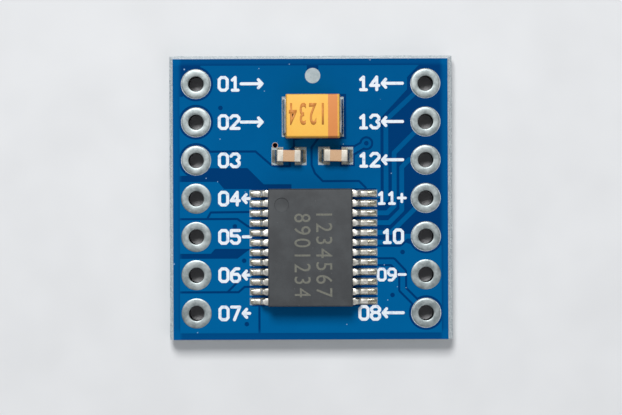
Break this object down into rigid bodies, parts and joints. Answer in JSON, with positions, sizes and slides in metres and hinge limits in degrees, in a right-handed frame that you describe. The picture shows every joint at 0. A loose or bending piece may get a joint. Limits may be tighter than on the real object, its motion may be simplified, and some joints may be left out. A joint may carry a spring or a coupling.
{
  "type": "dual motor driver breakout board",
  "caption": "Small blue circuit board with a driver chip, tantalum and ceramic capacitors, and a row of plated header holes along each side.",
  "frame": {"origin": "centre of the header hole grid, on the board's underside", "axes": "+X from the left header row to the right one, +Y towards the capacitors, +Z out of the component side"},
  "size_m": [0.0188, 0.0189, 0.0035],
  "materials": {
    "laminate_fibre": "matte",
    "copper": "satin",
    "tinned": "satin",
    "solder": "gloss",
    "blue_mask": "gloss",
    "white_ink": "matte",
    "mould_compound": "matte",
    "silicon": "polished",
    "silver_adhesive": "matte",
    "gold_wire": "polished",
    "lead_frame": "satin",
    "yellow_epoxy": "satin",
    "sintered_tantalum": "matte",
    "fired_ceramic": "satin",
    "nickel": "satin"
  },
  "bodies": {
    "root": {"laminate": "laminate_fibre", "copper_ground_pours": "copper", "copper_output_pours": "copper", "copper_supply_pour": "copper", "copper_upper_pour": "copper", "copper_signal_traces": "copper", "copper_fingers": "copper", "copper_back_ground_pour": "copper", "copper_back_traces": "copper", "header_hole_01": "tinned", "header_hole_02": "tinned", "header_hole_03": "tinned", "header_hole_04": "tinned", "header_hole_05": "tinned", "header_hole_06": "tinned", "header_hole_07": "tinned", "header_hole_08": "tinned", "header_hole_09": "tinned", "header_hole_10": "tinned", "header_hole_11": "tinned", "header_hole_12": "tinned", "header_hole_13": "tinned", "header_hole_14": "tinned", "vias": "copper", "fiducial": "tinned", "chip_lands": "tinned", "capacitor_lands": "tinned", "trace_tinning": "tinned", "solder_mask_front": "blue_mask", "solder_mask_back": "blue_mask", "pin_numbers_front": "white_ink", "pin_numbers_back": "white_ink", "chip_leads_left": "lead_frame", "chip_leads_right": "lead_frame", "chip_die_paddle": "lead_frame", "chip_die": "silicon", "chip_die_adhesive": "silver_adhesive", "chip_bond_wires": "gold_wire", "chip_case": "mould_compound", "chip_solder_left": "solder", "chip_solder_right": "solder", "tantalum_cathode_terminal": "lead_frame", "tantalum_anode_terminal": "lead_frame", "tantalum_pellet": "sintered_tantalum", "tantalum_anode_wire": "sintered_tantalum", "tantalum_silver_adhesive": "silver_adhesive", "tantalum_case": "yellow_epoxy", "tantalum_solder": "solder", "ceramic_left_block": "fired_ceramic", "ceramic_left_electrodes": "nickel", "ceramic_left_end_caps": "solder", "ceramic_left_solder": "solder", "ceramic_right_block": "fired_ceramic", "ceramic_right_electrodes": "nickel", "ceramic_right_end_caps": "solder", "ceramic_right_solder": "solder"}
  },
  "joints": []
}
